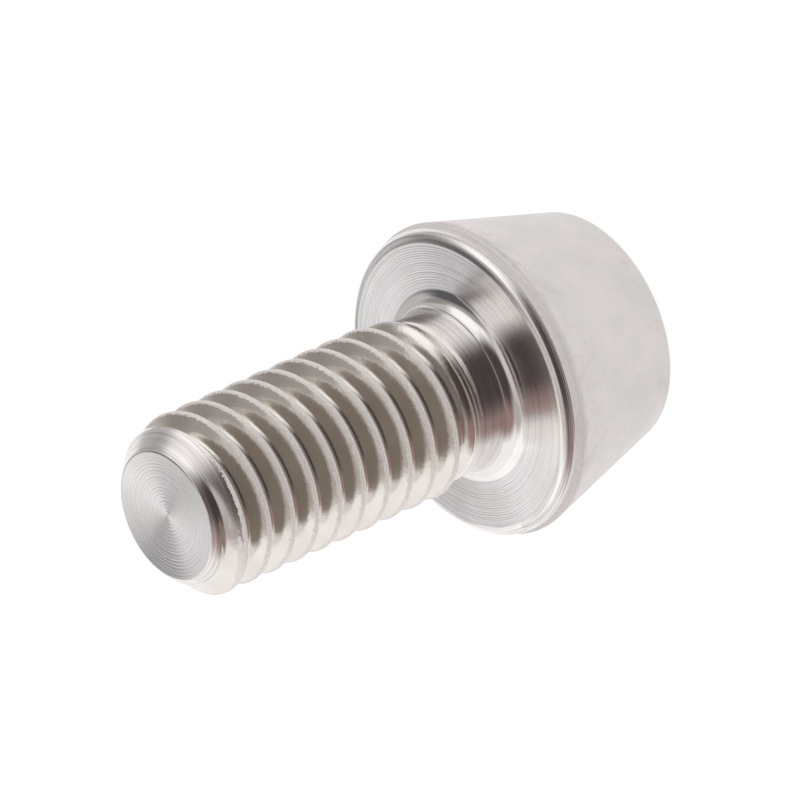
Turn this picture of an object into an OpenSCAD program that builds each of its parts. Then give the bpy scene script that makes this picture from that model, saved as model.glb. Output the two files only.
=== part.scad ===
// Socket head cap screw with a tapered head, one solid piece. Sizes are in millimetres.
// It stands on its head: the top of the head lies on z = 0 and the tip points along +Z.

/* [Thread] */
// Outside diameter of the thread
thread_d = 6; // [5.5:0.1:6.6]
// Advance of the thread in one turn
pitch = 1; // [0.75:0.05:1.25]
// Length from the bearing face to the tip
shank_l = 12.5; // [8:0.5:30]
// Diameter of the flat face at the tip
tip_d = 4.36; // [3.6:0.04:4.6]
// Direction in which the crest reaches the tip, in degrees
thread_start = 157.5; // [0:0.5:359.5]
// Length over which the crest grows to its full height
runout_l = 1.25; // [0.75:0.05:2]
// Straight sides in one turn of the thread
turn_sides = 36; // [24:4:48]

/* [Neck] */
// Diameter of the plain neck under the head
neck_d = 5.4; // [5.1:0.05:5.8]
// Length from the bearing face to the end of the neck
neck_l = 1.3; // [1:0.1:3]
// Radius of the hollow between the neck and the bearing face
fillet_r = 0.4; // [0.2:0.05:0.7]

/* [Head] */
// Largest diameter of the tapered head
head_d = 10.68; // [9.8:0.02:13]
// Height of the head
head_h = 5.8; // [5:0.1:7.5]
// Slope of the side of the head from the axis, in degrees
head_taper = 15.25; // [0:0.25:17]
// Radius of the rounded lip round the bearing face
lip_r = 0.38; // [0.2:0.02:0.6]
// Step from the lip out to the tapered side
lip_step = 0.11; // [0.05:0.01:0.3]
// Width of the bevel that leads from the lip to the tapered side
shoulder = 0.14; // [0.1:0.01:0.3]
// Radius of the edge round the top of the head
top_edge_r = 0.3; // [0.1:0.05:0.5]

/* [Socket] */
// Width of the six-sided socket across its flats
socket_w = 5; // [4:0.5:5]
// Depth of the flats of the socket
socket_depth = 3; // [2:0.1:3.5]
// Diameter of the bevel at the mouth of the socket
mouth_d = 6.1; // [5.9:0.05:6.4]

/* [Hidden] */
$fn = 96;
metal = [0.78, 0.76, 0.74];

// Angle between a thread flank and the plane across the axis
flank_angle = 30;
// Width of the crest and depth of the thread as shares of the pitch
crest_share = 1 / 8;
depth_share = 0.6134;
// Slope of the end of the neck, which fills the last thread groove
neck_end_angle = 30;
// Slope of the bevel at the mouth of the socket and of the drilled end of the socket, from the axis
mouth_angle = 45;
drill_angle = 60;
socket_sides = 6;
// Small overlap that keeps cuts and joins clear of shared faces
lap = 0.1;

thread_r = thread_d / 2;
tip_r = tip_d / 2;
neck_r = neck_d / 2;
head_r = head_d / 2;
root_r = thread_r - depth_share * pitch;
crest_half = crest_share * pitch / 2;
root_half = pitch / 2 - crest_half - depth_share * pitch * tan(flank_angle);

bearing_z = head_h;
tip_z = bearing_z + shank_l;
neck_end_z = bearing_z + neck_l;
lip_z = bearing_z - lip_r;
shoulder_z = lip_z - shoulder;
side_z = shoulder_z - shoulder;
bearing_r = head_r - lip_step - lip_r;
top_r = head_r - side_z * tan(head_taper);
edge_r = top_r - top_edge_r * (1 - sin(head_taper)) / cos(head_taper);

socket_r = socket_w / 2 / cos(180 / socket_sides);
mouth_r = mouth_d / 2;
drill_r = socket_w / 2;

// The sweep of the thread begins inside the head and ends past the tip, where it is cut off
row_points = 4;
spare_turns = 2;
turns_below = ceil((shank_l - neck_l) / pitch) + 1;
turns = turns_below + spare_turns;
first_z = tip_z - pitch * (turns_below + thread_start / 360);
rows = row_points * turns + 1;
hidden_r = neck_r - lap;

function eased(t) = t <= 0 ? 0 : t >= 1 ? 1 : t * t * (3 - 2 * t);
// Radius of the crest at a height: hidden in the neck first, then growing to the full thread
function crest_r(z) = hidden_r + (thread_r - hidden_r) * eased((z - neck_end_z) / runout_l);
// Half the width of the crest, which is wider where the thread is cut short
function crest_w(r) = crest_half + (thread_r - r) * tan(flank_angle);
// Height of the middle of the crest on one side of the sweep
function crest_z(row, side) = first_z + pitch * (floor(row / row_points) + side / turn_sides);
// Distance of a profile point from the middle of the crest: both crest edges, then both root edges
function profile_z(corner, r) =
    corner == 0 ? -crest_w(r) :
    corner == 1 ? crest_w(r) :
    corner == 2 ? pitch / 2 - root_half : pitch / 2 + root_half;
function profile_r(corner, r) = corner < 2 ? r : root_r;
function sweep_point(row, side) =
    let (middle = crest_z(row, side))
    let (r = crest_r(middle))
    let (corner = row % row_points)
    let (out = profile_r(corner, r))
    let (turn = 360 * side / turn_sides)
    [out * cos(turn), out * sin(turn), middle + profile_z(corner, r)];

// Place of a point in the list; past the last side the sweep goes on one turn higher
function at(row, side) = side < turn_sides ? row * turn_sides + side : at(row + row_points, side - turn_sides);
foot = rows * turn_sides;
crown = foot + 1;
last_side = turn_sides - 1;
last_row = rows - 1;

// The end of the last full strip on one side of the sweep
function strip_end(side) = side < last_side ? last_row : last_row - row_points;

module thread_sweep() {
    polyhedron(
        points = concat(
            [for (row = [0 : last_row]) for (side = [0 : last_side]) sweep_point(row, side)],
            [[0, 0, first_z - pitch], [0, 0, first_z + pitch * (turns + 1)]]
        ),
        faces = concat(
            [for (side = [0 : last_side]) for (row = [0 : strip_end(side) - 1])
                [at(row, side), at(row + 1, side), at(row + 1, side + 1)]],
            [for (side = [0 : last_side]) for (row = [0 : strip_end(side) - 1])
                [at(row, side), at(row + 1, side + 1), at(row, side + 1)]],
            [for (side = [0 : last_side]) [at(0, side), at(0, side + 1), foot]],
            [for (row = [0 : row_points - 1]) [at(row + 1, 0), at(row, 0), foot]],
            [for (side = [0 : last_side])
                [at(strip_end(side), side + 1), at(strip_end(side), side), crown]],
            [for (row = [last_row - row_points : last_row - 1])
                [at(row, last_side), at(row + 1, last_side), crown]]
        ),
        convexity = 10
    );
}

// Outline that the tip and its bevel cut from the thread
module tip_limit() {
    wide_r = thread_r + lap;
    rotate_extrude()
        polygon([
            [0, 0],
            [wide_r, 0],
            [wide_r, tip_z - (wide_r - tip_r)],
            [tip_r, tip_z],
            [0, tip_z]
        ]);
}

module thread() {
    intersection() {
        thread_sweep();
        tip_limit();
    }
}

// Half section of the head and the neck
module head_outline() {
    polygon([
        [0, 0],
        [edge_r, 0],
        [edge_r + top_edge_r * cos(head_taper), top_edge_r * (1 - sin(head_taper))],
        [head_r, side_z],
        [head_r - shoulder, shoulder_z],
        [bearing_r, lip_z],
        [bearing_r, bearing_z],
        [0, bearing_z]
    ]);
    translate([edge_r, top_edge_r])
        circle(top_edge_r);
    translate([bearing_r, lip_z])
        circle(lip_r);
}

module neck_outline() {
    core_r = root_r - lap;
    polygon([
        [0, bearing_z - lip_r],
        [neck_r, bearing_z - lip_r],
        [neck_r, neck_end_z],
        [core_r, neck_end_z + (neck_r - core_r) / tan(neck_end_angle)],
        [0, neck_end_z + (neck_r - core_r) / tan(neck_end_angle)]
    ]);
    difference() {
        translate([neck_r - lap, bearing_z - lap])
            square([fillet_r + lap, fillet_r + lap]);
        translate([neck_r + fillet_r, bearing_z + fillet_r])
            circle(fillet_r);
    }
}

module head_and_neck() {
    rotate_extrude()
        union() {
            head_outline();
            neck_outline();
        }
}

// Six-sided socket with a bevelled mouth and a drilled end
module socket() {
    translate([0, 0, -lap])
        cylinder(r = socket_r, h = socket_depth + lap, $fn = socket_sides);
    rotate_extrude()
        polygon([
            [0, -lap],
            [mouth_r + lap * tan(mouth_angle), -lap],
            [0, mouth_r / tan(mouth_angle)]
        ]);
    rotate_extrude()
        polygon([
            [0, socket_depth - lap],
            [drill_r, socket_depth - lap],
            [drill_r, socket_depth],
            [0, socket_depth + drill_r / tan(drill_angle)]
        ]);
}

module cap_screw() {
    color(metal)
        difference() {
            union() {
                head_and_neck();
                thread();
            }
            socket();
        }
}

cap_screw();
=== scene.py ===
# %% [markdown]
# # A cap screw that stands on its head
#
# The object is one piece of bright metal: a tapered round head with a hexagon socket, a turned bearing
# face, a short neck and a rolled thread up to a bevelled tip. The packed solid already has these forms.
# This lesson makes a finer skin over it, with the rounding, the turning rings and the finishes that a
# real screw shows from close by.

# %% Load the packed part
import math

import bpy
import numpy as np
from mathutils import Matrix, Vector


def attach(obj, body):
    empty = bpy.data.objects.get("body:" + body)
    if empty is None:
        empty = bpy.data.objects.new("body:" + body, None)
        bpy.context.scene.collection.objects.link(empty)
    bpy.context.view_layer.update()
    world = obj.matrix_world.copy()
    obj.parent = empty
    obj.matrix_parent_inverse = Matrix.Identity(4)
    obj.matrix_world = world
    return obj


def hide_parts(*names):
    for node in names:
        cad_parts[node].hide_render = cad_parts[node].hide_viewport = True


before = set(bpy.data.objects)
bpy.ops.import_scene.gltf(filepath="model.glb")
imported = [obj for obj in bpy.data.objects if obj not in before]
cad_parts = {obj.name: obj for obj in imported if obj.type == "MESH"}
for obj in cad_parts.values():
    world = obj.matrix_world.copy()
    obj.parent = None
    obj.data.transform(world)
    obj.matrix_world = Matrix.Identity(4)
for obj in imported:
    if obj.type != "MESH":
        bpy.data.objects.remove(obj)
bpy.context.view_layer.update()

# %% [markdown]
# ## Sizes
#
# The sizes repeat those of the part, in millimetres, because a screw is easier to think of in that unit.
# The points stay in it until they go into the mesh, which is in metres. Heights count from the top of
# the head, which is what the screw stands on.

# %% Sizes of the screw
MM = 0.001
THREAD_R, PITCH, THREAD_START = 3.0, 1.0, math.radians(157.5)
THREAD_DEPTH, CREST_WIDTH = 0.6134, 0.125
FLANK_SLOPE = 1.0 / math.tan(math.radians(30))
HEAD_H, SHANK_L = 5.8, 12.5
TIP_R, TIP_DISH, TIP_EDGE = 2.18, 0.075, 0.04
NECK_R, NECK_L, RUNOUT_L = 2.7, 1.3, 1.25
FILLET_OUT, FILLET_UP = 0.6, 0.52
HEAD_R, LIP_R, LIP_STEP, SHOULDER = 5.34, 0.38, 0.11, 0.14
HEAD_TAPER, TOP_EDGE_R = math.radians(15.25), 0.3
SOCKET_W, SOCKET_DEPTH, MOUTH_R, DRILL_ANGLE = 5.0, 3.0, 3.05, math.radians(60)

TIP_Z = HEAD_H + SHANK_L
ROOT_R = THREAD_R - THREAD_DEPTH
LIP_Z = HEAD_H - LIP_R
BEARING_R = HEAD_R - LIP_STEP - LIP_R
SIDE_Z = LIP_Z - 2 * SHOULDER
TOP_R = HEAD_R - SIDE_Z * math.tan(HEAD_TAPER)
EDGE_R = TOP_R - TOP_EDGE_R * (1 - math.sin(HEAD_TAPER)) / math.cos(HEAD_TAPER)
print("tip at", TIP_Z, "mm, bearing face out to", round(BEARING_R, 2), "mm, top", round(TOP_R, 2), "mm")

# %% [markdown]
# ## The thread as a height over the axis
#
# Every point of the shank is a radius that depends on its height and its angle. A thread could be made
# by carrying a profile along a helix, but as a height field it can be joined to the neck and cut by the
# bevel of the tip with plain arithmetic: a soft minimum rounds each edge as rolling and tumbling do.

# %% Radius of the shank
CREST_LIFT, ROLLED_EDGE, CUT_EDGE = 0.012, 0.05, 0.035


def soft_min(a, b, width):
    """The smaller of a and b, with the corner between them rounded over about the given width."""
    return 0.5 * (a + b - np.sqrt((a - b) ** 2 + width ** 2))


def eased(t):
    """0 below 0, 1 above 1 and a smooth S between them."""
    t = np.clip(t, 0.0, 1.0)
    return t * t * (3 - 2 * t)


def crest_height(angle):
    """Height of one crest at an angle: it climbs by one pitch in a turn, counter-clockwise from above."""
    return TIP_Z + PITCH * (angle - THREAD_START) / (2 * math.pi)


def crest_distance(z, angle):
    """Distance along the axis from the nearest crest: the part of a pitch that is left after whole turns."""
    turn = (z - crest_height(angle)) / PITCH
    return np.abs(turn - np.round(turn)) * PITCH


def thread_radius(z, angle):
    """The distance from the nearest crest gives the flank's height; crest and root cap it softly, the
    crest a little high, since rounding takes that much off. The neck swells into it over the run-out."""
    flank = THREAD_R - FLANK_SLOPE * (crest_distance(z, angle) - CREST_WIDTH / 2)
    thread = soft_min(flank, THREAD_R + CREST_LIFT, ROLLED_EDGE)
    thread = -soft_min(-thread, -ROOT_R, ROLLED_EDGE)
    grown = eased((z - HEAD_H - NECK_L) / RUNOUT_L)
    return NECK_R + (thread - NECK_R) * grown


def bevel_radius(z):
    """The bevel of the tip: its radius grows by as much as the height falls, at 45 degrees."""
    return TIP_R + TIP_Z - z


def shank_radius(z, angle):
    """The thread, cut by the bevel of the tip, with the corner between them rounded."""
    return soft_min(thread_radius(z, angle), bevel_radius(z), CUT_EDGE)


heights = TIP_Z - PITCH * np.linspace(3.0, 4.0, 101)
print("crest to root:", round(float(np.ptp(thread_radius(heights, 0.0))), 3), "mm")

# %% [markdown]
# ## One skin from the tip to the bottom of the socket
#
# The skin is one grid. Its columns are angles round the axis, and its rows follow the outline from the
# middle of the tip down the shank, over the head and into the socket. Each row belongs to a zone, which
# later gets its own finish. Turned faces carry fine rings where the tool fed along by a step in each
# turn. They are cut into the rows themselves, so that they also show in the bare mesh.

# %% A grid that grows row by row
SIDES = 144
ZONES = ("tip_face", "bevel", "thread", "neck", "fillet", "bearing_face", "lip", "side", "top")
angles = np.linspace(0.0, 2 * math.pi, SIDES + 1)
rows_r, rows_z, zones = [], [], []
chance = np.random.default_rng(6)
CUTS, SHALLOWEST = 80, 0.4


def add_rows(zone, r, z):
    """Adds rows to the skin. A row with one radius and one height is a ring."""
    r = np.asarray(r, float)
    z = np.asarray(z, float)
    rows_r.append(r[:, None] * np.ones(SIDES + 1) if r.ndim == 1 else r)
    rows_z.append(z[:, None] * np.ones(SIDES + 1) if z.ndim == 1 else z)
    zones.extend([ZONES.index(zone)] * len(r))


def ring_grooves(distance, spacing, depth):
    """Depth of turning marks: a cosine of the distance and a weaker one of half its length make narrow
    ridges at 0 and broad grooves near the depth, each cut deeper or shallower than its neighbours."""
    cuts = chance.uniform(SHALLOWEST, 1.0, CUTS)[np.floor(distance / spacing).astype(int) % CUTS]
    phase = 2 * math.pi * distance / spacing
    return depth * cuts * (0.5 - 0.40 * np.cos(phase) - 0.10 * np.cos(2 * phase))


print("grid of", SIDES, "columns in", len(ZONES), "zones")

# %% [markdown]
# ## Tip
#
# The end of a rolled screw is turned flat and then dished a little, because rolling pulls the skin of the
# bar past its core. The dish is a shallow parabola under the rings. An eighth of a circle rounds the edge
# to the bevel.

# %% Rows of the tip
TIP_RINGS, MIDDLE_FADE, EDGE_FADE = (0.115, 0.0036), 0.1, 0.06
r = np.linspace(0.0, TIP_R - TIP_EDGE, 134)
fade = eased(r / MIDDLE_FADE) * eased((r[-1] - r) / EDGE_FADE)
dish = TIP_DISH * (1 - (r / r[-1]) ** 2)
add_rows("tip_face", r, TIP_Z - dish - ring_grooves(r, *TIP_RINGS) * fade)

tip_edge_r = TIP_EDGE * math.sqrt(2)
turn = np.linspace(0.2, 1.0, 5) * math.radians(45)
add_rows("bevel", r[-1] + tip_edge_r * np.sin(turn), TIP_Z - tip_edge_r * (1 - np.cos(turn)))
print("tip:", len(zones), "rows")

# %% [markdown]
# ## Thread
#
# On the thread the rows lean with the helix, so that each crest and root lies along a row and stays
# sharp. They are close together at the crest and the root and further apart on the flanks. Rows that lean
# past the ends of the thread are held at the end, where they fall together and are welded.

# %% Rows of the thread
CREST_TO_ROOT = np.array([0.0, 0.035, 0.055, 0.07, 0.09, 0.13, 0.19, 0.26, 0.33, 0.375, 0.42, 0.46])
TIP_GAP, TIP_HOLD, NECK_HOLD = 0.02, 0.1, 0.04
TURNS = math.ceil((SHANK_L - NECK_L) / PITCH) + 2


def held(z, limit, width):
    """z while it is well under the limit, the limit itself past it, and a parabola of the width between."""
    over = np.clip(z - limit + width, 0.0, 2 * width)
    return np.where(z < limit + width, z - over ** 2 / (4 * width), limit)


tip_ring, neck_ring = TIP_Z - TIP_GAP, HEAD_H + NECK_L
shares = np.concatenate([CREST_TO_ROOT, 1.0 - CREST_TO_ROOT[:0:-1]])
lean = (np.arange(1, -TURNS - 1, -1)[:, None] - shares[None, :]).ravel()
z = crest_height(angles)[None, :] + PITCH * lean[:, None]
z = z[(z.min(axis=1) < tip_ring + TIP_HOLD) & (z.max(axis=1) > neck_ring - NECK_HOLD)]
z = -held(-held(z, tip_ring, TIP_HOLD), -neck_ring, NECK_HOLD)
level_row = np.ones((1, SIDES + 1))
z = np.concatenate([tip_ring * level_row, z, neck_ring * level_row])
add_rows("thread", shank_radius(z, angles[None, :]), z)
print("thread:", len(z), "rows,", len(shares), "to a turn")

# %% [markdown]
# ## Neck, fillet and bearing face
#
# The neck and the bearing face were turned in one pass, with a hollow between them that keeps the screw
# from cracking there. The hollow is a quarter of an ellipse. The rings fade out toward it.

# %% Rows of the neck, the fillet and the bearing face
NECK_RINGS, NECK_GAP, NECK_FADE = (0.085, 0.0024), 0.012, 0.08
BEARING_RINGS, FILLET_GAP, FILLET_FADE = (0.080, 0.0022), 0.02, 0.3
LIP_GAP, LIP_FADE = 0.01, 0.04
z = np.linspace(neck_ring - NECK_GAP, HEAD_H + FILLET_UP, 54)
fade = eased((z - z[-1]) / NECK_FADE)
add_rows("neck", NECK_R - ring_grooves(z, *NECK_RINGS) * fade, z)

turn = np.linspace(0.0, math.pi / 2, 18)[1:]
add_rows("fillet", NECK_R + FILLET_OUT * (1 - np.cos(turn)), HEAD_H + FILLET_UP * (1 - np.sin(turn)))

r = np.linspace(NECK_R + FILLET_OUT + FILLET_GAP, BEARING_R - LIP_GAP, 100)
fade = eased((r - r[0]) / FILLET_FADE) * eased((r[-1] - r) / LIP_FADE)
add_rows("bearing_face", r, HEAD_H - ring_grooves(r, *BEARING_RINGS) * fade)
print("neck, fillet and bearing face: to", len(zones), "rows")

# %% [markdown]
# ## Lip and side of the head
#
# A polished round lip leads from the bearing face to the side. Where it ends, a small ledge steps out to
# the satin cone, which narrows toward the socket. The lip is a quarter circle, the ledge bends into the
# cone on a curve with one control point at its corner, and a second arc rounds the top edge.

# %% Rows of the lip and the side
POLISH_END, LIP_DROP, LEDGE_UP, LEDGE_LAP = 82, 0.15, 0.045, 0.05
for zone, degrees in (("lip", np.linspace(0, POLISH_END, 18)), ("side", np.linspace(POLISH_END, 90, 3)[1:])):
    turn = np.radians(degrees)
    add_rows(zone, BEARING_R + LIP_R * np.sin(turn), LIP_Z + LIP_R * np.cos(turn))

lip_foot = np.array([BEARING_R + LIP_R, LIP_Z - LIP_DROP])
ledge_corner = np.array([HEAD_R, SIDE_Z + LEDGE_UP])
up_cone = np.array([math.sin(HEAD_TAPER), math.cos(HEAD_TAPER)])
cone_start = np.array([HEAD_R, SIDE_Z]) - LEDGE_LAP * up_cone
cone_end = np.array([EDGE_R + TOP_EDGE_R * math.cos(HEAD_TAPER), TOP_EDGE_R * (1 - math.sin(HEAD_TAPER))])
ledge = (lip_foot + ledge_corner) / 2
inner_corner = np.array([[0.0, 0.03], [0.012, -0.008]])
add_rows("side", *(lip_foot + inner_corner).T)
turn = np.linspace(0.0, 1.0, 9)[:, None]
add_rows("side", *(ledge * (1 - turn) ** 2 + 2 * ledge_corner * turn * (1 - turn) + cone_start * turn ** 2).T)
turn = np.linspace(0.0, 1.0, 13)[1:, None]
add_rows("side", *(cone_start + (cone_end - cone_start) * turn).T)
turn = np.linspace(HEAD_TAPER, math.pi / 2, 10)[1:]
add_rows("side", EDGE_R + TOP_EDGE_R * np.cos(turn), TOP_EDGE_R * (1 - np.sin(turn)))
print("lip and side: to", len(zones), "rows")

# %% [markdown]
# ## Top and socket
#
# The socket was drilled and then broached to six flats, so it ends in the cone of the drill. Its radius
# is that of a hexagon, the half width divided by the cosine of the angle from the middle of a flat, and
# at the mouth the bevel wins where it is wider.

# %% Rows of the top and the socket
BEVEL_ROWS = [0.03, 0.08, 0.16, 0.25, 0.35, 0.45, 0.55, 0.62]
FLAT_ROWS = [1.6, SOCKET_DEPTH - 0.02, SOCKET_DEPTH]
add_rows("top", np.linspace(EDGE_R, MOUTH_R, 6)[1:], np.zeros(5))
sector = math.pi / 3
hexagon = SOCKET_W / 2 / np.cos(angles % sector - sector / 2)
z = np.array(BEVEL_ROWS + FLAT_ROWS)[:, None]
add_rows("top", np.maximum(hexagon[None, :], MOUTH_R - z), z * np.ones(SIDES + 1))
turn = np.linspace(0.0, 1.0, 9)
add_rows("top", SOCKET_W / 2 * (1 - turn), SOCKET_DEPTH + SOCKET_W / 2 / math.tan(DRILL_ANGLE) * turn)
grid_r = np.concatenate(rows_r)
grid_z = np.concatenate(rows_z)
zone_of_row = np.array(zones)
print("skin:", grid_r.shape[0], "rows of", SIDES, "points")

# %% [markdown]
# ## Edges that wear
#
# Rolling leaves the crests of a thread rough, and so is the edge where the bevel cuts the last turn. Both
# are painted paler, partly as that rough worn metal and partly as a painted highlight. How near a point is
# to such an edge is kept with the mesh as a number, which the finish of the thread reads later. What the
# bevel laid bare between these edges is turned, so it changes zone.

# %% Worn and highlit edges of the thread
CREST_REACH, CUT_REACH, BEVEL_SKIN, WORN_ENOUGH = 0.2, 0.11, 0.03, 0.25
GROWN_R, GROWN_OVER = NECK_R + 0.05, 0.2
CUT_R, CUT_OVER = NECK_R + 0.02, 0.08
on_thread = (zone_of_row == ZONES.index("thread"))[:, None]
# Nearness to a crest or to the cut edge; the finish paints these edges paler, partly as worn metal and partly
# as a painted highlight.
worn_and_highlit_edge = np.clip(1 - crest_distance(grid_z, angles[None, :]) / CREST_REACH, 0, 1)
worn_and_highlit_edge = worn_and_highlit_edge * eased((grid_r - GROWN_R) / GROWN_OVER)
from_cut = np.abs(thread_radius(grid_z, angles[None, :]) - bevel_radius(grid_z))
cut_edge = np.clip(1 - from_cut / CUT_REACH, 0, 1) * eased((grid_r - CUT_R) / CUT_OVER)
worn_and_highlit_edge = np.maximum(worn_and_highlit_edge, cut_edge) * on_thread
laid_bare = (bevel_radius(grid_z) - grid_r < BEVEL_SKIN) & on_thread & (worn_and_highlit_edge < WORN_ENOUGH)
print("worn:", int((worn_and_highlit_edge > 0.5).sum()), "points, laid bare by the bevel:", int(laid_bare.sum()))

# %% [markdown]
# ## Welding the grid
#
# The first and last column lie on each other, and on the thread the last column meets the first one turn
# higher. Rounding all places to a hundred-thousandth of a millimetre and keeping each once closes the seam
# and the two poles. Quads that lost a corner become triangles, and those that lost two go.

# %% Weld the grid
WELD_DECIMALS = 5
x = grid_r * np.cos(angles)[None, :]
y = grid_r * np.sin(angles)[None, :]
points = np.stack([x, y, grid_z], axis=-1).reshape(-1, 3)
rounded = np.round(points, WELD_DECIMALS) + 0.0
places, first, weld = np.unique(rounded, axis=0, return_index=True, return_inverse=True)
weld = weld.reshape(grid_r.shape)
quads = np.stack([weld[:-1, :-1], weld[1:, :-1], weld[1:, 1:], weld[:-1, 1:]], axis=-1).reshape(-1, 4)
quad_zone = np.where(laid_bare[1:, 1:], ZONES.index("bevel"), zone_of_row[1:, None]).ravel()
twin = quads == np.roll(quads, -1, axis=1)
whole = twin.sum(axis=1) == 0
lost_one = twin.sum(axis=1) == 1
keep = (np.argmax(twin[lost_one], axis=1)[:, None] + np.arange(1, 4)[None, :]) % 4
triangles = np.take_along_axis(quads[lost_one], keep, axis=1)
faces = quads[whole].tolist() + triangles.tolist()
face_zone = np.concatenate([quad_zone[whole], quad_zone[lost_one]])
print("welded:", len(points), "to", len(places), "points")

# %% [markdown]
# ## The mesh
#
# Each face keeps the number of its zone, which becomes its material. All faces are shaded smooth, and
# only edges as sharp as those of the socket stay sharp. The screw rides on the one body of the part and
# takes the place of its plain solid.

# %% Make the mesh
SHARP_ANGLE = math.radians(38)
mesh = bpy.data.meshes.new("cap_screw_skin")
mesh.from_pydata((places * MM).tolist(), [], faces)
mesh.polygons.foreach_set("material_index", face_zone.astype(np.int32))
mesh.polygons.foreach_set("use_smooth", np.ones(len(faces), bool))
crest = mesh.attributes.new("crest", "FLOAT", "POINT")
crest.data.foreach_set("value", worn_and_highlit_edge.ravel()[first].astype(np.float32))
mesh.update()
mesh.set_sharp_from_angle(angle=SHARP_ANGLE)
screw = bpy.data.objects.new("cap_screw_skin", mesh)
bpy.context.scene.collection.objects.link(screw)
edges_open = len(mesh.edges) - len(mesh.loops) // 2
print("mesh:", sum(len(face) - 2 for face in faces), "triangles, open edges:", edges_open)

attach(screw, "root")
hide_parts("cap_screw")

# %% [markdown]
# ## Wiring for the finishes
#
# A finish is a small net of nodes. Each helper adds one node and returns its output, so that a finish
# reads like a formula. A value may be a number, a colour or the output of another node.

# %% Helpers for nodes
class Wiring:
    """Adds nodes to one node tree."""

    def __init__(self, tree):
        self.tree = tree

    def feed(self, socket, value):
        """Links an output to a socket, or sets the socket to a number or a colour."""
        if isinstance(value, bpy.types.NodeSocket):
            self.tree.links.new(value, socket)
        elif socket.type == "RGBA":
            socket.default_value = (*value, 1.0)
        else:
            socket.default_value = value

    def add(self, kind, values=None, **settings):
        """A new node of a kind, with values for its inputs and its other settings."""
        node = self.tree.nodes.new(kind)
        for name, setting in settings.items():
            setattr(node, name, setting)
        for name, value in (values or {}).items():
            self.feed(node.inputs[name], value)
        return node

    def math(self, operation, *values):
        """Arithmetic on one or two values."""
        return self.add("ShaderNodeMath", dict(enumerate(values)), operation=operation).outputs[0]

    def ramp(self, value, low, high, to_low=0.0, to_high=1.0, kind="LINEAR"):
        """A value carried from low and high to two others, and held at both ends."""
        ends = {"Value": value, "From Min": low, "From Max": high, "To Min": to_low, "To Max": to_high}
        return self.add("ShaderNodeMapRange", ends, interpolation_type=kind).outputs["Result"]

    def blend(self, share, under, over, kind="MIX"):
        """One colour laid over another by a share from 0 to 1."""
        node = self.add("ShaderNodeMix", data_type="RGBA", blend_type=kind)
        for name, value in {"Factor": share, "A": under, "B": over}.items():
            self.feed(node.inputs[name], value)
        return node.outputs["Result"]

    def noise(self, place, scale, detail, roughness):
        """The value of a noise texture at a place."""
        values = {"Vector": place, "Scale": scale, "Detail": detail, "Roughness": roughness}
        return self.add("ShaderNodeTexNoise", values).outputs["Fac"]

    def place(self, kind="Object"):
        """Where the shaded point is."""
        return self.add("ShaderNodeTexCoord").outputs[kind]

    def parts(self, vector):
        """The x, y and z of a vector."""
        return self.add("ShaderNodeSeparateXYZ", {0: vector}).outputs

    def along(self, vector, direction):
        """How far a vector reaches along a direction: their dot product."""
        node = self.add("ShaderNodeVectorMath", {0: vector, 1: direction}, operation="DOT_PRODUCT")
        return node.outputs["Value"]

    def group(self, shared, **values):
        """The outputs of a shared node group, with values for its inputs."""
        return self.add("ShaderNodeGroup", values, node_tree=shared.tree).outputs

    def bump(self, height, depth, **normal):
        """The normal of a surface that a height lifts by up to a depth in millimetres."""
        values = {"Height": height, "Distance": depth * MM, **normal}
        return self.add("ShaderNodeBump", values).outputs["Normal"]


def new_group(name, inputs, outputs):
    """The wiring of an empty node group with named sockets, what it is given and what it puts out."""
    group = bpy.data.node_groups.new(name, "ShaderNodeTree")
    for in_out, sockets in (("INPUT", inputs), ("OUTPUT", outputs)):
        for label, kind in sockets.items():
            group.interface.new_socket(label, in_out=in_out, socket_type="NodeSocket" + kind)
    wiring = Wiring(group)
    return wiring, wiring.add("NodeGroupInput").outputs, wiring.add("NodeGroupOutput").inputs


print("wiring can add:", ", ".join(name for name in vars(Wiring) if not name.startswith("_")))

# %% [markdown]
# ## What the finishes share
#
# All of the screw is the same metal, so the finishes differ only in how it was worked and how it wears.
# Three node groups hold what they share. The first lets the tint and the roughness wander a little. The
# second draws tool marks round the axis: a noise that is squeezed along the radius or the height and
# stretched round the axis. The third makes a metal paler or darker, duller and rougher where it is worn.
# The scale of a noise counts its lumps in a metre, so that 900 makes lumps of about a millimetre.

# %% Wander of tint and roughness
wander, given, result = new_group(
    "Metal wander",
    {"Colour": "Color", "Tint": "Color", "Scale": "Float", "Roughness": "Float", "Spread": "Float"},
    {"Colour": "Color", "Roughness": "Float"})
cloud = wander.noise(wander.place(), given["Scale"], 3.0, 0.55)
speck = wander.noise(wander.place(), 14000.0, 2.0, 0.6)
wander.feed(result["Colour"], wander.blend(wander.ramp(cloud, 0.38, 0.62), given["Colour"], given["Tint"]))
mixed = wander.math("ADD", wander.math("MULTIPLY", cloud, 0.6), wander.math("MULTIPLY", speck, 0.4))
reach = wander.math("MULTIPLY", given["Spread"], 4.0)
swing = wander.math("MULTIPLY", wander.math("SUBTRACT", mixed, 0.5), reach)
wander.feed(result["Roughness"], wander.math("ADD", given["Roughness"], swing))
print("node group:", wander.tree.name)

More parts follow.
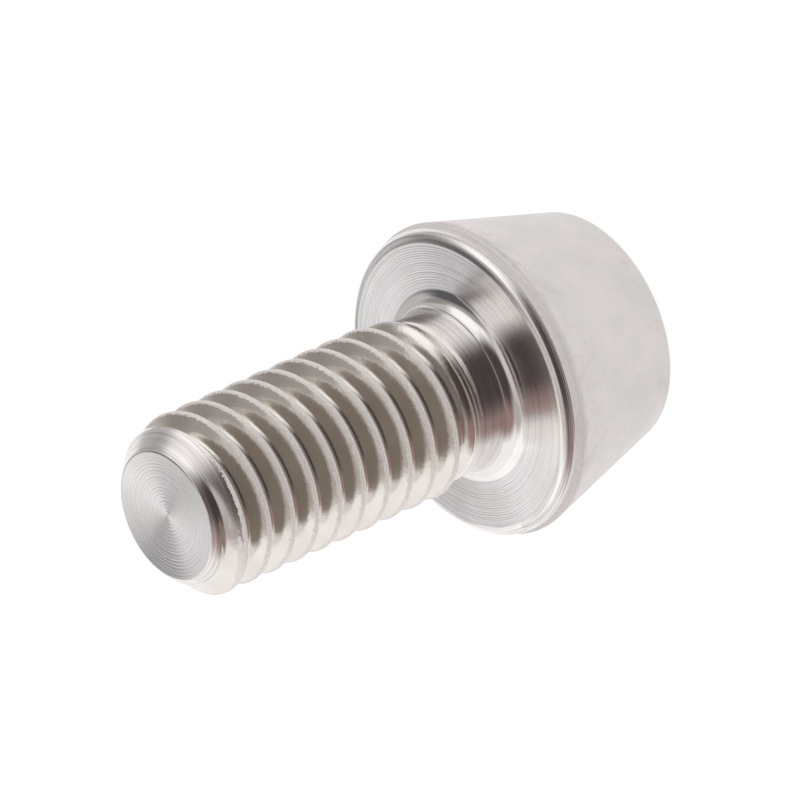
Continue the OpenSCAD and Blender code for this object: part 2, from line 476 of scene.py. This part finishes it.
# %% Tool marks
marks, given, result = new_group("Tool marks", {"Across": "Float", "Spacing": "Float"}, {"Height": "Float"})
x, y, z = marks.parts(marks.place())
out = marks.math("SQRT", marks.math("ADD", marks.math("POWER", x, 2.0), marks.math("POWER", y, 2.0)))
by_radius = marks.math("MULTIPLY", out, marks.math("SUBTRACT", 1.0, given["Across"]))
by_height = marks.math("MULTIPLY", z, given["Across"])
lines = marks.math("DIVIDE", marks.math("ADD", by_radius, by_height), given["Spacing"])
around = marks.math("MULTIPLY", marks.math("ARCTAN2", y, x), 0.7)
squeezed = marks.add("ShaderNodeCombineXYZ", {0: lines, 1: around}).outputs[0]
marks.feed(result["Height"], marks.noise(squeezed, 1.0, 3.0, 0.6))
print("node group:", marks.tree.name)

# %% Worn metal
worn, given, result = new_group(
    "Worn metal",
    {"Colour": "Color", "Roughness": "Float", "Stain": "Float", "Wear": "Float",
     "Worn_colour": "Color", "Dulling": "Float", "Roughening": "Float"},
    {"Colour": "Color", "Roughness": "Float", "Metallic": "Float"})
worn.feed(result["Colour"], worn.blend(given["Stain"], given["Colour"], given["Worn_colour"]))
rougher = worn.math("MULTIPLY", given["Wear"], given["Roughening"])
worn.feed(result["Roughness"], worn.math("ADD", given["Roughness"], rougher))
duller = worn.math("MULTIPLY", given["Wear"], given["Dulling"])
worn.feed(result["Metallic"], worn.math("SUBTRACT", 1.0, duller))
print("node group:", worn.tree.name)

# %% [markdown]
# ## Bare metal
#
# Every finish starts as bare metal. Turned faces have rings round the axis, and light stretches across
# them as on a brushed lid, so the flat ones are anisotropic. On all turned faces but the tip, the tool
# lines also show as lighter and darker streaks. The rolled thread is smoother, and the side is satin.

# %% Bare metal of each zone
ACROSS_RADIUS, ACROSS_HEIGHT = 0.0, 1.0
BROAD, FINE, QUARTER_TURN = 700.0, 900.0, 0.25


def metal(name, colour, tint, scale, rings, roughness, spread=0.03, brushed=0.0, lined=0.0):
    """A bare metal: the wander group feeds colour and roughness, tool marks feed the normal.
    rings is what the marks lie across, and their spacing and depth in millimetres."""
    material = bpy.data.materials.new(name)
    material.use_nodes = True
    finish = Wiring(material.node_tree)
    shader = finish.tree.nodes["Principled BSDF"]
    shader.inputs["Metallic"].default_value = 1.0
    bare = finish.group(wander, Colour=colour, Tint=tint, Scale=scale, Roughness=roughness, Spread=spread)
    across, spacing, depth = rings
    height = finish.group(marks, Across=across, Spacing=spacing * MM)["Height"]
    tone = bare["Colour"]
    if lined:
        tone = finish.blend(1.0, tone, finish.ramp(height, 0.35, 0.65, 1.0 - lined, 1.0 + lined), "MULTIPLY")
    finish.feed(shader.inputs["Base Color"], tone)
    finish.feed(shader.inputs["Roughness"], bare["Roughness"])
    finish.feed(shader.inputs["Normal"], finish.bump(height, depth))
    if brushed:
        shader.inputs["Anisotropic"].default_value = brushed
        shader.inputs["Anisotropic Rotation"].default_value = QUARTER_TURN
        round_axis = finish.add("ShaderNodeTangent", direction_type="RADIAL", axis="Z")
        finish.feed(shader.inputs["Tangent"], round_axis.outputs["Tangent"])
    return material


LIP_LINES, SIDE_LINES = 0.050, 0.045
finishes = {
    "tip_face": metal("turned_tip_metal", (0.85, 0.835, 0.835), (0.81, 0.795, 0.79), BROAD,
                      (ACROSS_RADIUS, 0.035, 0.0010), roughness=0.26, brushed=0.9),
    "bevel": metal("turned_bevel_metal", (0.78, 0.755, 0.745), (0.74, 0.71, 0.69), FINE,
                   (ACROSS_HEIGHT, 0.055, 0.0016), roughness=0.24, spread=0.04, lined=0.22),
    "thread": metal("rolled_thread_metal", (0.82, 0.785, 0.745), (0.77, 0.73, 0.69), FINE,
                    (ACROSS_HEIGHT, 0.12, 0.0006), roughness=0.15, spread=0.04),
    "neck": metal("turned_neck_metal", (0.76, 0.735, 0.725), (0.70, 0.67, 0.66), FINE,
                  (ACROSS_HEIGHT, 0.070, 0.0014), roughness=0.13, lined=0.14),
    "fillet": metal("turned_fillet_metal", (0.86, 0.84, 0.83), (0.82, 0.795, 0.785), FINE,
                    (ACROSS_RADIUS, 0.040, 0.0006), roughness=0.13, lined=0.05),
    "bearing_face": metal("turned_bearing_metal", (0.86, 0.845, 0.845), (0.82, 0.805, 0.80), BROAD,
                          (ACROSS_RADIUS, 0.050, 0.0010), roughness=0.18, brushed=0.85, lined=0.10),
    "lip": metal("polished_lip_metal", (0.80, 0.78, 0.77), (0.76, 0.73, 0.72), FINE,
                 (ACROSS_HEIGHT, LIP_LINES, 0.0012), roughness=0.24, lined=0.4),
    "side": metal("satin_side_metal", (0.705, 0.655, 0.65), (0.66, 0.638, 0.614), FINE,
                  (ACROSS_HEIGHT, SIDE_LINES, 0.0010), roughness=0.34, spread=0.05),
    "top": metal("plain_top_metal", (0.78, 0.765, 0.755), (0.73, 0.715, 0.70), BROAD,
                 (ACROSS_RADIUS, 0.050, 0.0010), roughness=0.28, spread=0.05),
}
for zone in ZONES:
    mesh.materials.append(finishes[zone])
print("finishes:", ", ".join(material.name for material in mesh.materials))

# %% [markdown]
# ## Worn crests and dents of the thread
#
# The crests of a rolled thread are dry and ragged, since the metal folds over there and is never pressed
# smooth. Their pale colour is partly that worn metal and partly a painted highlight along each crest. A
# noise moves the border of the worn edge in and out, and a finer one speckles it. The flanks are not quite
# even either, so a low bump dents them and breaks up what they mirror.

# %% Finish of the thread
def wear(finish, stain, dull, colour, dulling, roughening):
    """Puts the worn-metal group between a bare metal and its shader: the stain takes its colour to
    another, and the dull part is less metallic by the dulling and rougher by the roughening."""
    shader = finish.tree.nodes["Principled BSDF"]
    bare = {name: shader.inputs[name].links[0].from_socket for name in ("Base Color", "Roughness")}
    made = finish.group(worn, Colour=bare["Base Color"], Roughness=bare["Roughness"], Stain=stain, Wear=dull,
                        Worn_colour=colour, Dulling=dulling, Roughening=roughening)
    finish.feed(shader.inputs["Base Color"], made["Colour"])
    finish.feed(shader.inputs["Roughness"], made["Roughness"])
    finish.feed(shader.inputs["Metallic"], made["Metallic"])


def moved(finish, value, noise, reach):
    """A value that a noise moves up and down: the noise less a half, times the reach, is added to it."""
    return finish.math("ADD", value, finish.math("MULTIPLY", finish.math("SUBTRACT", noise, 0.5), reach))


thread = Wiring(finishes["thread"].node_tree)
place = thread.place()
near_crest = thread.add("ShaderNodeAttribute", attribute_name="crest").outputs["Fac"]
ragged = moved(thread, near_crest, thread.noise(place, 11000.0, 4.0, 0.7), 1.1)
pale_crests_and_highlight = thread.ramp(ragged, 0.42, 0.54, kind="SMOOTHSTEP")
grain = thread.ramp(thread.noise(place, 26000.0, 2.0, 0.6), 0.36, 0.64)
# Pale crest colour: partly rough worn metal, partly a painted highlight on each crest.
worn_and_highlight_colour = thread.blend(grain, (0.74, 0.685, 0.645), (0.97, 0.935, 0.905))
wear(thread, pale_crests_and_highlight, pale_crests_and_highlight, worn_and_highlight_colour, dulling=0.47, roughening=0.45)
shader = thread.tree.nodes["Principled BSDF"]
rolled = shader.inputs["Normal"].links[0].from_socket
dents = thread.bump(thread.noise(place, 6000.0, 3.0, 0.6), 0.0045, Normal=rolled)
thread.feed(shader.inputs["Normal"], dents)
print("thread:", len(thread.tree.nodes), "nodes")

# %% [markdown]
# ## Stained side and scuffed lip
#
# The satin side has faint smudges, more of them near its two edges, and a dull lined band where the
# turning tool ran out at the ledge. Small dark pits are strewn over it. On the outer half of the lip,
# fine pale scuffs follow the tool lines.

# %% Finish of the side
side = Wiring(finishes["side"].node_tree)
place = side.place()
height = side.parts(place)[2]


def rise(value, low, high, to_low=0.0, to_high=1.0):
    """A smooth ramp on the side, from one height to another in millimetres."""
    return side.ramp(value, low * MM, high * MM, to_low, to_high, kind="SMOOTHSTEP")


band_edge = moved(side, height, side.noise(place, 1500.0, 5.0, 0.7), 2.0 * MM)
over_ledge = rise(height, SIDE_Z - 0.16, SIDE_Z - 0.02)
dull_band = side.math("MAXIMUM", rise(band_edge, SIDE_Z - 0.29, SIDE_Z + 0.41), over_ledge)
pitting = side.math("ADD", side.noise(place, 5200.0, 3.0, 0.6), side.math("MULTIPLY", dull_band, 0.09))
pits = side.math("MULTIPLY", side.ramp(pitting, 0.66, 0.76), 0.7)
drawn = side.group(marks, Across=ACROSS_HEIGHT, Spacing=SIDE_LINES * MM)["Height"]
tool_lines = moved(side, 0.22, drawn, 3.2)
near_lip = rise(height, SIDE_Z - 1.54, SIDE_Z - 0.14, 0.16, 0.60)
near_top = rise(height, TOP_EDGE_R + 0.1, TOP_EDGE_R + 1.0, 0.36, 0.16)
smudged = side.ramp(side.noise(place, 1300.0, 8.0, 0.74), 0.50, 0.72)
smudges = side.math("MULTIPLY", smudged, side.math("MAXIMUM", near_lip, near_top))
lined_band = side.math("MULTIPLY", dull_band, tool_lines)
stain = side.math("MAXIMUM", lined_band, side.math("MAXIMUM", pits, smudges))
wear(side, stain, dull_band, (0.52, 0.465, 0.445), dulling=0.85, roughening=0.25)
print("side:", len(side.tree.nodes), "nodes")

# %% Finish of the lip
lip = Wiring(finishes["lip"].node_tree)
height = lip.parts(lip.place())[2]
outer_half = lip.ramp(height, (LIP_Z + 0.06) * MM, (LIP_Z + 0.28) * MM, 1.0, 0.0)
drawn = lip.group(marks, Across=ACROSS_HEIGHT, Spacing=LIP_LINES * MM)["Height"]
tool_lines = lip.ramp(drawn, 0.50, 0.62)
scuffs = lip.math("MULTIPLY", outer_half, tool_lines)
wear(lip, scuffs, scuffs, (0.60, 0.55, 0.53), dulling=0.5, roughening=0.2)
print("lip:", len(lip.tree.nodes), "nodes")

# %% [markdown]
# ## Floor
#
# The floor is white paper that keeps a faint shadow of the screw. From below it is clear, so that the
# socket can be looked at. Bare metal mirrors the floor, and in a studio a darker sheet lies in front of a
# bright part, to give the flanks of its thread their depth. Here the paper itself is dim there, but for
# glossy rays alone, so that the floor in the picture stays white.

# %% Floor
FLOOR_HALF, PAPER_GLOW, GLOW_SHARE = 0.6, 1.12, 0.82
floor_mesh = bpy.data.meshes.new("floor")
corners = np.array([(-1, -1, 0), (1, -1, 0), (1, 1, 0), (-1, 1, 0)]) * FLOOR_HALF
floor_mesh.from_pydata(corners.tolist(), [], [(0, 1, 2, 3)])
floor = bpy.data.objects.new("floor", floor_mesh)
bpy.context.scene.collection.objects.link(floor)
material = bpy.data.materials.new("white_paper_floor")
material.use_nodes = True
floor_mesh.materials.append(material)
paper = Wiring(material.node_tree)
paper.tree.nodes.clear()
spot = paper.place()


def past(azimuth, near, far):
    """0 on the floor nearer than one distance in a direction and 1 past the other, in millimetres."""
    direction = (math.cos(math.radians(azimuth)), math.sin(math.radians(azimuth)), 0)
    return paper.ramp(paper.along(spot, direction), near * MM, far * MM, kind="SMOOTHSTEP")


def mixed_shader(share, first, second):
    """Two shaders mixed by a share."""
    return paper.add("ShaderNodeMixShader", {0: share, 1: first, 2: second}).outputs[0]


rays = paper.add("ShaderNodeLightPath").outputs
mirrored = paper.math("MAXIMUM", rays["Is Glossy Ray"], rays["Is Transmission Ray"])
seen = paper.math("MAXIMUM", rays["Is Camera Ray"], mirrored)
dim_sheet = paper.math("MAXIMUM", past(256, 12.0, 15.5), past(318, 21.0, 30.0))
dim_colour = paper.blend(past(270, 40.0, 70.0), (0.13, 0.095, 0.068), (0.08, 0.066, 0.055))
colour = paper.blend(paper.math("MULTIPLY", dim_sheet, rays["Is Glossy Ray"]), (1, 1, 1), dim_colour)
matt = paper.add("ShaderNodeBsdfDiffuse", {"Color": (0.9, 0.9, 0.9)}).outputs[0]
glow = paper.add("ShaderNodeEmission", {"Color": colour, "Strength": PAPER_GLOW}).outputs[0]
from_above = mixed_shader(paper.math("MULTIPLY", seen, GLOW_SHARE), matt, glow)
clear = paper.add("ShaderNodeBsdfTransparent").outputs[0]
below = paper.add("ShaderNodeNewGeometry").outputs["Backfacing"]
paper.add("ShaderNodeOutputMaterial", {"Surface": mixed_shader(below, from_above, clear)})
print("floor:", 2 * FLOOR_HALF, "m wide")

# %% [markdown]
# ## Studio
#
# Bare metal shows little of its own: it shows the room. The room is a white tent. Soft round patches
# stand for what hangs in it: grey cloths on the right and behind, two dark flags whose mirror image draws
# the edge of the fillet, two lit panels, and the dim side of the room where the camera stands. What the
# camera sees past the floor, and what lights the paper, stays white.

# %% Studio
scene = bpy.context.scene
scene.view_settings.view_transform = "Standard"
scene.world = bpy.data.worlds.new("studio")
scene.world.use_nodes = True
tent = Wiring(scene.world.node_tree)
tent.tree.nodes.clear()
gaze = tent.place("Generated")


def patch(azimuth, elevation, inner, outer):
    """A round patch of the room, in degrees: 1 within the inner angle of its centre, 0 past the outer."""
    a, e = math.radians(azimuth), math.radians(elevation)
    centre = (math.cos(e) * math.cos(a), math.cos(e) * math.sin(a), math.sin(e))
    inside, outside = math.cos(math.radians(inner)), math.cos(math.radians(outer))
    return tent.ramp(tent.along(gaze, centre), outside, inside, kind="SMOOTHSTEP")


# Each patch has a name, its azimuth, elevation, inner and outer angle, and its colour
PATCHES = (
    ("wide grey cloth", (43, 3, 27, 45), (0.54, 0.54, 0.54)),
    ("upper grey cloth", (36, 56, 16, 24), (0.38, 0.365, 0.35)),
    ("lower grey cloth", (45, 30, 9, 21), (0.32, 0.295, 0.275)),
    ("lit panel behind", (108, 50, 8, 30), (1.16, 1.15, 1.15)),
    ("grey cloth behind", (73, 24, 10, 24), (0.56, 0.555, 0.56)),
    ("large dark flag", (60, 49.5, 11, 18), (0.11, 0.11, 0.115)),
    ("small dark flag", (80, 44, 5.5, 11.5), (0.09, 0.09, 0.095)),
    ("lit panel on the right", (351, 32, 8, 28), (1.18, 1.17, 1.165)),
    ("dim left front", (226, 16, 34, 58), (0.36, 0.24, 0.225)),
    ("dim low front", (272, 5, 24, 46), (0.17, 0.15, 0.145)),
    ("grey ceiling", (207, 78, 27, 38), (0.50, 0.465, 0.445)),
    ("dark round the camera", (264, 31, 21, 55), (0.070, 0.054, 0.054)),
    ("paler ceiling", (250, 84, 14, 26), (0.66, 0.62, 0.61)),
)
room = (1.02, 1.01, 1.005)
for _, where, colour in PATCHES:
    room = tent.blend(patch(*where), room, colour)
rays = tent.add("ShaderNodeLightPath").outputs
plain = tent.math("MAXIMUM", rays["Is Camera Ray"], rays["Is Diffuse Ray"])
background = tent.add("ShaderNodeBackground", {"Color": tent.blend(plain, room, (1, 1, 1))}).outputs[0]
tent.add("ShaderNodeOutputWorld", {"Surface": background})
print("studio:", ", ".join(name for name, _, _ in PATCHES))

# %% [markdown]
# ## Camera
#
# The picture was taken with a long lens from about 0.4 m away, 35.6 degrees above the floor that the
# head stands on, and rolled until the tip points to the lower left. The angles come from a fit of the
# rings of the screw to the picture.

# %% Camera
ELEVATION, ROLL, DISTANCE = math.radians(35.646), math.radians(114.084), 400.56 * MM
AIM = Vector((0.33, 0.0, 8.131)) * MM
FOCAL_PIXELS, IMAGE_PIXELS = 12469.0, 800.0
forward = Vector((0.0, math.cos(ELEVATION), -math.sin(ELEVATION)))
level = forward.cross(Vector((0, 0, 1))).normalized()
upright = level.cross(forward)
up = upright * math.cos(ROLL) + level * math.sin(ROLL)
right = forward.cross(up)
lens = bpy.data.cameras.new("camera")
lens.sensor_width = 36.0
lens.lens = FOCAL_PIXELS / IMAGE_PIXELS * lens.sensor_width
lens.clip_start = 0.01
camera = bpy.data.objects.new("camera", lens)
stand = AIM - forward * DISTANCE
turned = Matrix((right, up, -forward)).transposed()
camera.matrix_world = Matrix.Translation(stand) @ turned.to_4x4()
scene.collection.objects.link(camera)
scene.camera = camera
print("camera:", [round(value, 4) for value in stand], "lens", round(lens.lens, 1), "mm")

# %% [markdown]
# ## Size of the skin
#
# The skin must not be larger than the part that it dresses.
